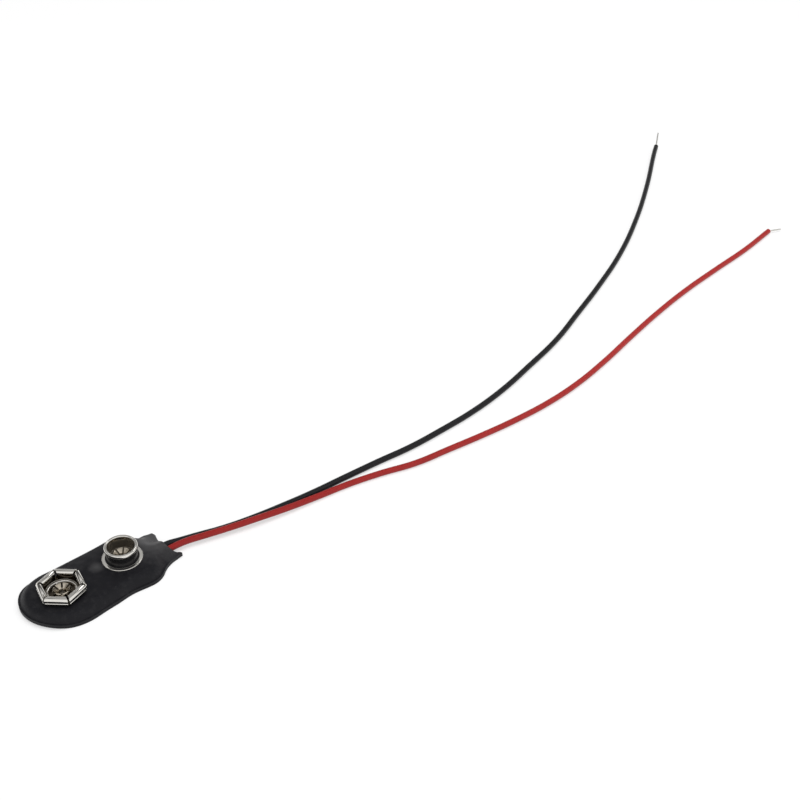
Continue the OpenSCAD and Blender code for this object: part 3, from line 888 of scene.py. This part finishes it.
class SNAP_OT_rivets(bpy.types.Operator):
    """Makes the two tubular rivets with their splayed tongues"""

    bl_idname = "snap.rivets"
    bl_label = "Rivets"

    def execute(self, context):
        metal = context.scene.snap_terminals
        colours = context.scene.snap_colours
        for name, node, place, floor, first in (
                ("socket_tongues", "socket_rivet", SOCKET_AT, SOCKET_LOW.z + metal.metal, 0),
                ("stud_tongues", "stud_rivet", STUD_AT, FOOT_Z + metal.metal, metal.stud_tongue_turn)):
            finish = nickel_finish(f"{name}_nickel", colours, place,
                                   (colours.nickel_warm, 1, (0, metal.throat), (0, SOCKET_HIGH.z)))
            spot = Matrix.Translation((place.x, place.y, floor))
            bm = bmesh.new()
            self.tube(bm, metal, floor)
            bmesh.ops.transform(bm, verts=bm.verts[:], matrix=spot)
            one = bmesh.new()
            self.tongue(one, metal)
            for i in range(metal.tongues):
                turn = Matrix.Rotation(first + 2 * math.pi * (i + 0.5) / metal.tongues, 4, "Z")
                copied(bm, one, spot @ turn)
            one.free()
            finished(bm, name, finish, "nickel", node)
        return {"FINISHED"}

    def tube(self, bm, metal, floor):
        """Shank and head of a rivet, down from a floor."""
        inner = metal.shank / 2 - metal.rivet_wall
        low = RIVET_LOW.z - floor
        outer, head = metal.shank / 2, metal.rivet_head / 2
        neck = low + metal.head_thick
        row = [bm.verts.new((inner, 0, low))]
        traced(bm, row, (head, low), (head, neck), (outer, neck), (outer, 0), (inner, 0))
        revolved(bm, row, RIVET_STEPS)

    def tongue(self, bm, metal):
        """One tongue, on the X axis: a strip that bends out of the tube and rises at its splay."""
        inner = metal.shank / 2 - metal.rivet_wall
        bend = 2 * metal.rivet_wall
        turn = math.pi / 2 - metal.splay
        part = math.pi / metal.tongues
        row = [bm.verts.new((inner, 0, -metal.rivet_wall))]
        bent(bm, row, (inner + bend, -metal.rivet_wall), turn)
        along = Vector((math.cos(metal.splay), 0, math.sin(metal.splay)))
        drawn(bm, row[-1], row[-1].co + along * (metal.tongue - bend * turn / 2), 3)
        bmesh.ops.rotate(bm, verts=bm.verts[:], matrix=Matrix.Rotation(-part, 3, "Z"))
        bmesh.ops.spin(bm, geom=bm.verts[:] + bm.edges[:], axis=(0, 0, 1), angle=2 * part,
                       steps=TONGUE_STEPS)
        for way in (-1, 1):
            cut = Vector((-math.sin(part), way * math.cos(part), 0))
            bmesh.ops.bisect_plane(bm, geom=bm.verts[:] + bm.edges[:] + bm.faces[:], dist=1e-8,
                                   plane_co=-cut * metal.split / 2, plane_no=cut, clear_outer=True)
        bmesh.ops.recalc_face_normals(bm, faces=bm.faces[:])
        bmesh.ops.solidify(bm, geom=bm.faces[:], thickness=metal.rivet_wall)
        closed(bm)
        softened(bm, TONGUE_ROUND)


def lead_curve(name, route, diameter, finish):
    """A round lead along its route."""
    curve = bpy.data.curves.new(name, "CURVE")
    curve.dimensions = "3D"
    curve.resolution_u = 8
    curve.bevel_depth = diameter / 2
    curve.bevel_resolution = 6
    curve.use_fill_caps = True
    spline = curve.splines.new("BEZIER")
    spline.bezier_points.add(len(route) - 1)
    for point, place in zip(spline.bezier_points, route):
        point.co = Vector(place) * MM
        point.handle_left_type = point.handle_right_type = "AUTO"
    curve.materials.append(finish)
    lead = bpy.data.objects.new(name, curve)
    bpy.context.scene.collection.objects.link(lead)
    return lead


# Strands around the middle one, sides of a strand, and length and least number of its steps
RING_STRANDS = 6
STRAND_SIDES = 8
STRAND_STEP = 0.2 * MM
LEAST_STEPS = 8


def strand_bundle(bm, start, way, length, lead):
    """A straight strand with a ring of strands twisted around it, from a point along a direction."""
    strand = lead.core / 6
    steps = max(LEAST_STEPS, round(length / STRAND_STEP))
    turn = 2 * math.pi * length / lead.twist_pitch
    lay = Matrix.Translation(start) @ way.to_track_quat("Z", "Y").to_matrix().to_4x4()
    for i in range(1 + RING_STRANDS):
        one = bmesh.new()
        made = bmesh.ops.create_circle(one, segments=STRAND_SIDES, radius=strand, cap_ends=True)["verts"]
        if i:
            angle = 2 * math.pi / RING_STRANDS * i
            bmesh.ops.translate(one, verts=made,
                                vec=(2 * strand * math.cos(angle), 2 * strand * math.sin(angle), 0))
        bmesh.ops.spin(one, geom=one.verts[:] + one.edges[:] + one.faces[:], axis=(0, 0, 1),
                       dvec=(0, 0, length / steps), angle=turn, steps=steps)
        closed(one)
        copied(bm, one, lay)
        one.free()


class SNAP_OT_leads(bpy.types.Operator):
    """Makes the red and the black lead with their tinned strands"""

    bl_idname = "snap.leads"
    bl_label = "Leads"

    def execute(self, context):
        lead = context.scene.snap_leads
        colours = context.scene.snap_colours
        tinned = tinned_finish(colours)
        red = insulation_finish("red_insulation", colours.red, colours.red_deep)
        black = insulation_finish("black_insulation", colours.black, colours.black_pale)
        for colour, route, rivet, bare, bend, exit_at, length, finish in (
                ("red", RED_ROUTE, SOCKET_AT, lead.red_bare, lead.red_bend, RED_EXIT, RED_LENGTH, red),
                ("black", BLACK_ROUTE, STUD_AT, lead.black_bare, lead.black_bend, BLACK_EXIT,
                 BLACK_LENGTH, black)):
            first, last = Vector(route[0]) * MM, Vector(route[-1]) * MM
            ahead = (last - Vector(route[-2]) * MM).normalized()
            ahead.rotate(Matrix.Rotation(bend, 3, "Z"))
            inner = first - Vector((rivet.x, rivet.y, first.z))
            bm = bmesh.new()
            strand_bundle(bm, first - inner, inner.normalized(), inner.length, lead)
            strand_bundle(bm, last, ahead, bare, lead)
            strands = finished(bm, f"{colour}_strands", tinned, "tinned_copper",
                               f"{colour}_conductor", crease=60)
            cord = lead_curve(f"{colour}_cord", route, lead.diameter, finish)
            seated(cord, f"{colour}_insulation", f"{colour}_lead")
        return {"FINISHED"}


class SNAP_OT_inner_parts(bpy.types.Operator):
    """Gives the hidden board and the solder their finishes"""

    bl_idname = "snap.inner_parts"
    bl_label = "Board and solder"

    def execute(self, context):
        colours = context.scene.snap_colours
        for node, finish in (("insulating_board", board_finish(colours)),
                             ("socket_solder", solder_finish(colours)),
                             ("stud_solder", solder_finish(colours))):
            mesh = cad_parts[node].data
            mesh.materials.clear()
            mesh.materials.append(finish)
        return {"FINISHED"}


class SNAP_OT_camera(bpy.types.Operator):
    """Sets the camera where the picture was taken"""

    bl_idname = "snap.camera"
    bl_label = "Camera"

    def execute(self, context):
        studio = context.scene.snap_studio
        data = bpy.data.cameras.new("camera")
        data.lens = studio.lens
        data.sensor_width = 36
        data.clip_start = 10 * MM
        data.clip_end = 20
        camera = bpy.data.objects.new("camera", data)
        eye = Vector(studio.eye)
        camera.location = eye
        camera.rotation_mode = "QUATERNION"
        camera.rotation_quaternion = (Vector(studio.aim) - eye).to_track_quat("-Z", "Y")
        context.scene.collection.objects.link(camera)
        context.scene.camera = camera
        context.scene.view_settings.view_transform = "Standard"
        return {"FINISHED"}


def seen(paint):
    """1 for what the camera, a mirror or a glass sees, and 0 for the light on things."""
    path = paint.node("ShaderNodeLightPath", {}, {}, "Is Camera Ray")
    node = path.output.node
    glossy = Socket(paint, node.outputs["Is Glossy Ray"])
    through = Socket(paint, node.outputs["Is Transmission Ray"])
    return path, path + glossy + through


# Place and sides of each lamp
FILL_AT, FILL_SIDES = (0.06, 0, 0.7), (0.5, 0.5)
STRIP_AT, STRIP_SIDES = (0.55, 0.05, 0.6), (0.5, 0.14)
# Half the floor's side, the share of its own white near the object, and where that grows to all of it
FLOOR_HALF = 3
NEAR_WHITE = 0.55
WHITE_FROM, WHITE_FULL = 0.15, 0.5
# Brightness of the room and of the window behind the camera, by height
ROOM = ((0.0, 0.95), (0.2, 0.9), (0.3, 0.1), (0.55, 0.1), (0.6, 0.5), (0.72, 0.5), (0.75, 0.9),
        (0.8, 0.9), (0.83, 0.1), (0.95, 0.45))
WINDOW = ((0.0, 1), (0.78, 1), (0.9, 0.45))
# Way to the window, and how squarely a ray must point there to see its edge and to see only it
WINDOW_WAY = (-0.38, -0.925, 0)
WINDOW_EDGE, WINDOW_FULL = 0.1, 0.4


class SNAP_OT_stage(bpy.types.Operator):
    """Makes the white floor and the soft studio light"""

    bl_idname = "snap.stage"
    bl_label = "Stage"

    def execute(self, context):
        studio = context.scene.snap_studio
        self.floor(context)
        self.world(context)
        fill = self.soft_box(context, "fill_lamp", FILL_AT, FILL_SIDES, studio.fill_light)
        fill.visible_glossy = False
        self.soft_box(context, "side_strip", STRIP_AT, STRIP_SIDES, studio.side_light)
        return {"FINISHED"}

    def floor(self, context):
        """White floor that keeps the shadow."""
        bm = bmesh.new()
        bmesh.ops.create_grid(bm, x_segments=1, y_segments=1, size=FLOOR_HALF)
        mesh = bpy.data.meshes.new("white_floor")
        bm.to_mesh(mesh)
        bm.free()
        made, paint = material("white_floor")
        lit = paint.node("ShaderNodeBsdfDiffuse", {}, {"Color": linear(250, 250, 250)})
        white = paint.node("ShaderNodeEmission", {}, {"Color": (1, 1, 1), "Strength": 1.0})
        _, any_view = seen(paint)
        middle = paint.shifted((-(CAD_LOW.x + CAD_HIGH.x) / 2, -(CAD_LOW.y + CAD_HIGH.y) / 2, 0))
        away = paint.node("ShaderNodeVectorMath", {"operation": "LENGTH"}, {0: middle}, "Value")
        share = any_view * (NEAR_WHITE + (1 - NEAR_WHITE) * paint.share(away, WHITE_FROM, WHITE_FULL))
        paint.output(paint.node("ShaderNodeMixShader", {}, {0: share, 1: lit, 2: white}))
        mesh.materials.append(made)
        floor = bpy.data.objects.new("white_floor", mesh)
        context.scene.collection.objects.link(floor)

    def world(self, context):
        """White sweep low down, a dark room above it, and a bright window behind the camera."""
        world = bpy.data.worlds.new("studio")
        paint = Paint(world)
        ray = paint.node("ShaderNodeTexCoord", {}, {}, "Generated")
        up = paint.node("ShaderNodeSeparateXYZ", {}, {"Vector": ray}, "Z")
        toward = paint.node("ShaderNodeVectorMath", {"operation": "DOT_PRODUCT"},
                            {0: ray, 1: WINDOW_WAY}, "Value")
        facing = paint.share(toward, WINDOW_EDGE, WINDOW_FULL)
        lit = paint.mix(facing, paint.ramp(up, *ROOM), paint.ramp(up, *WINDOW))
        camera, _ = seen(paint)
        colour = paint.mix(camera, lit, (1, 1, 1))
        light = paint.node("ShaderNodeBackground", {}, {"Color": colour, "Strength": 1})
        paint.output(light, "ShaderNodeOutputWorld")
        context.scene.world = world

    def soft_box(self, context, name, place, sides, power):
        """A lamp of two sides that points at the cover."""
        data = bpy.data.lights.new(name, "AREA")
        data.shape = "RECTANGLE"
        data.size, data.size_y = sides
        data.energy = power
        lamp = bpy.data.objects.new(name, data)
        lamp.location = place
        lamp.rotation_mode = "QUATERNION"
        lamp.rotation_quaternion = (-Vector(place)).to_track_quat("-Z", "Y")
        context.scene.collection.objects.link(lamp)
        return lamp


OPERATORS = (SNAP_OT_camera, SNAP_OT_leads, SNAP_OT_cover, SNAP_OT_socket, SNAP_OT_stud,
             SNAP_OT_rivets, SNAP_OT_inner_parts, SNAP_OT_stage)
GROUPS = {"snap_cover": SnapCoverSizes, "snap_terminals": SnapTerminalSizes,
          "snap_leads": SnapLeadSizes, "snap_colours": SnapColours, "snap_studio": SnapStudio}


class SNAP_PT_panel(bpy.types.Panel):
    """Lists the steps and the values of the battery snap"""

    bl_label = "Battery snap"
    bl_idname = "SNAP_PT_panel"
    bl_space_type = "VIEW_3D"
    bl_region_type = "UI"
    bl_category = "Snap"

    def draw(self, context):
        column = self.layout.column(align=True)
        for operator in OPERATORS:
            column.operator(operator.bl_idname)
        for name in GROUPS:
            box = self.layout.box()
            group = getattr(context.scene, name)
            for value in group.__annotations__:
                box.prop(group, value)


def register():
    for made in (*GROUPS.values(), *OPERATORS, SNAP_PT_panel):
        bpy.utils.register_class(made)
    for name, group in GROUPS.items():
        setattr(bpy.types.Scene, name, PointerProperty(type=group))


def unregister():
    for name in GROUPS:
        delattr(bpy.types.Scene, name)
    for made in (SNAP_PT_panel, *reversed(OPERATORS), *reversed(GROUPS.values())):
        bpy.utils.unregister_class(made)


def main():
    register()
    bpy.ops.snap.camera()
    bpy.ops.snap.leads()
    bpy.ops.snap.cover()
    bpy.ops.snap.socket()
    bpy.ops.snap.stud()
    bpy.ops.snap.rivets()
    bpy.ops.snap.inner_parts()
    bpy.ops.snap.stage()


if __name__ == "__main__":
    main()
